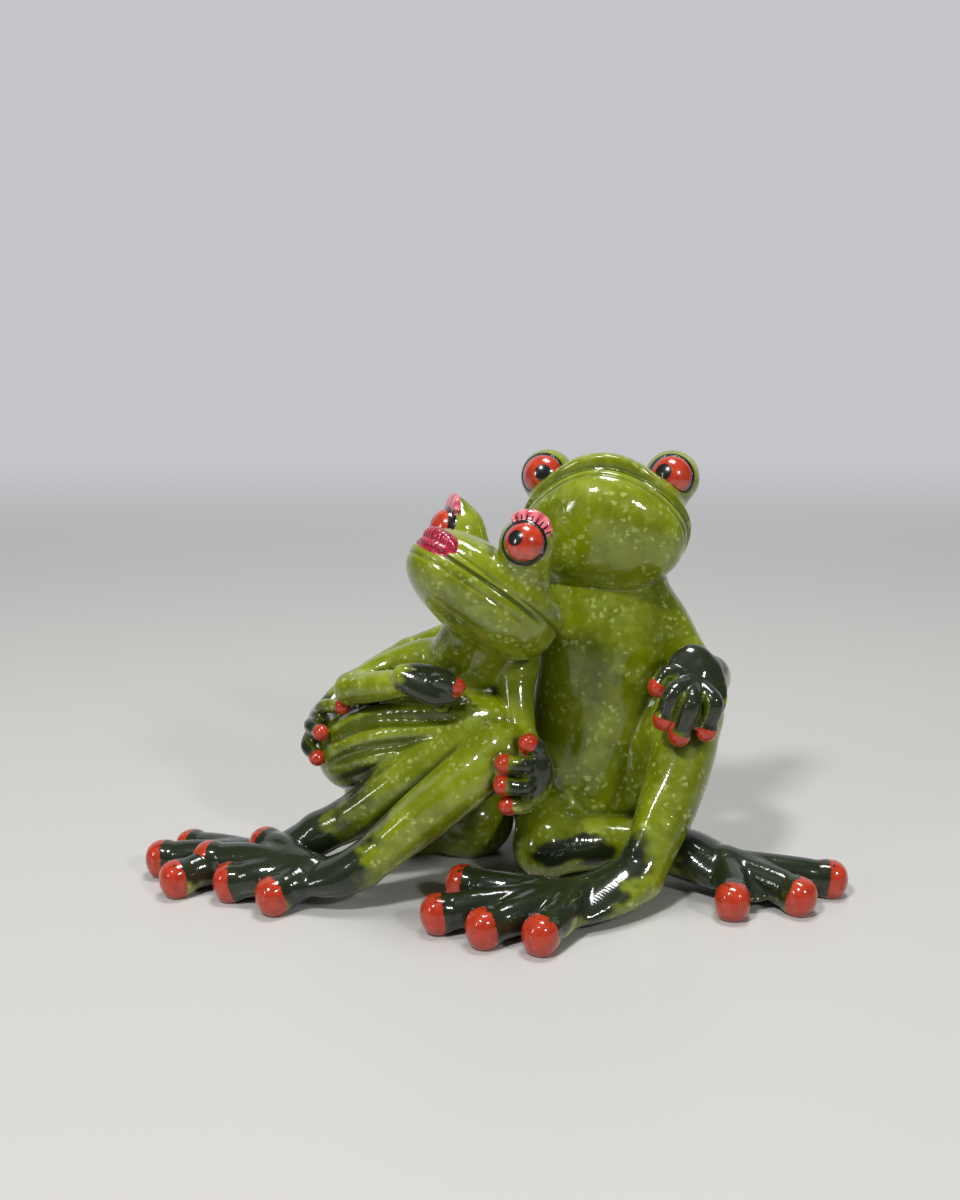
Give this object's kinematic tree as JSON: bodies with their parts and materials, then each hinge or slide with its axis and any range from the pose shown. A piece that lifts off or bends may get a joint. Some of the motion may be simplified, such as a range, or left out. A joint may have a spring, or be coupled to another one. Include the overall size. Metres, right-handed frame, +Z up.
{
  "type": "frog couple figurine",
  "caption": "Free-standing glossy resin ornament of a cuddling tree frog couple: one sits upright, the smaller one leans on its chest, long folded legs and splayed round toes.",
  "frame": {"origin": "on the table under the middle of the pair", "axes": "+X to the right as the pair is seen from the front, +Y away from the viewer, +Z up"},
  "size_m": [0.1891, 0.0933, 0.1152],
  "materials": {
    "painted_resin": "gloss",
    "eye_enamel": "gloss"
  },
  "bodies": {
    "root": {"upright_torso": "painted_resin", "upright_head": "painted_resin", "upright_left_arm": "painted_resin", "upright_right_arm": "painted_resin", "upright_left_leg": "painted_resin", "upright_right_leg": "painted_resin", "upright_left_eye": "eye_enamel", "upright_right_eye": "eye_enamel", "leaning_torso": "painted_resin", "leaning_head": "painted_resin", "leaning_left_arm": "painted_resin", "leaning_right_arm": "painted_resin", "leaning_left_leg": "painted_resin", "leaning_right_leg": "painted_resin", "leaning_left_eye": "eye_enamel", "leaning_right_eye": "eye_enamel"}
  },
  "joints": []
}
